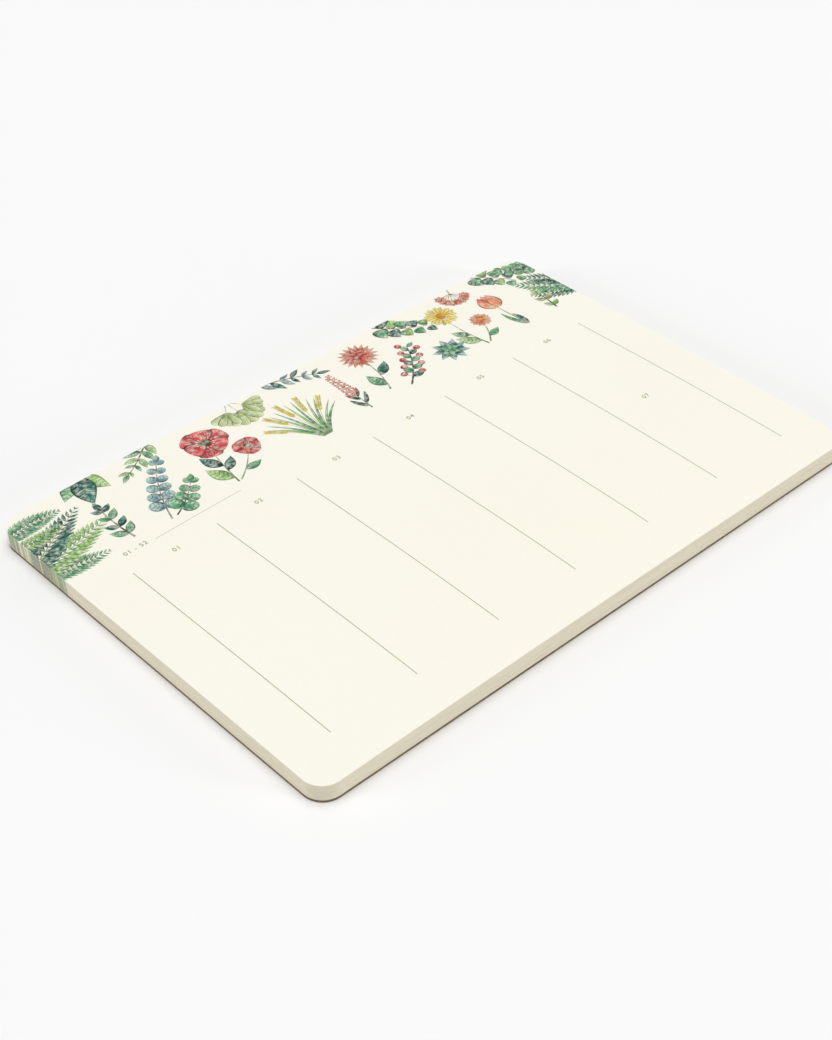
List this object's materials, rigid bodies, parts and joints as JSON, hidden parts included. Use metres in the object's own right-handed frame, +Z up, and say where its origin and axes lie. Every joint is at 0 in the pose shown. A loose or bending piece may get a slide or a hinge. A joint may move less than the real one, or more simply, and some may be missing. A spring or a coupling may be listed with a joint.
{
  "type": "notepad",
  "caption": "Landscape tear-off desk pad: a block of round-cornered planner sheets glued along its top edge to a thin chipboard back.",
  "frame": {"origin": "middle of the flat underside of the backing board", "axes": "+X along the long edge, +Y from the free edge to the glued top edge of the page, +Z up through the sheets"},
  "size_m": [0.3048, 0.21, 0.0121],
  "materials": {
    "paper": "uncoated cream text paper, printed on one side",
    "chipboard": "unlined brown-grey chipboard",
    "padding_glue": "thin flexible film of dried padding glue"
  },
  "bodies": {
    "root": {"backing_board": "chipboard", "page_block": "paper", "binding_glue": "padding_glue"}
  },
  "joints": []
}
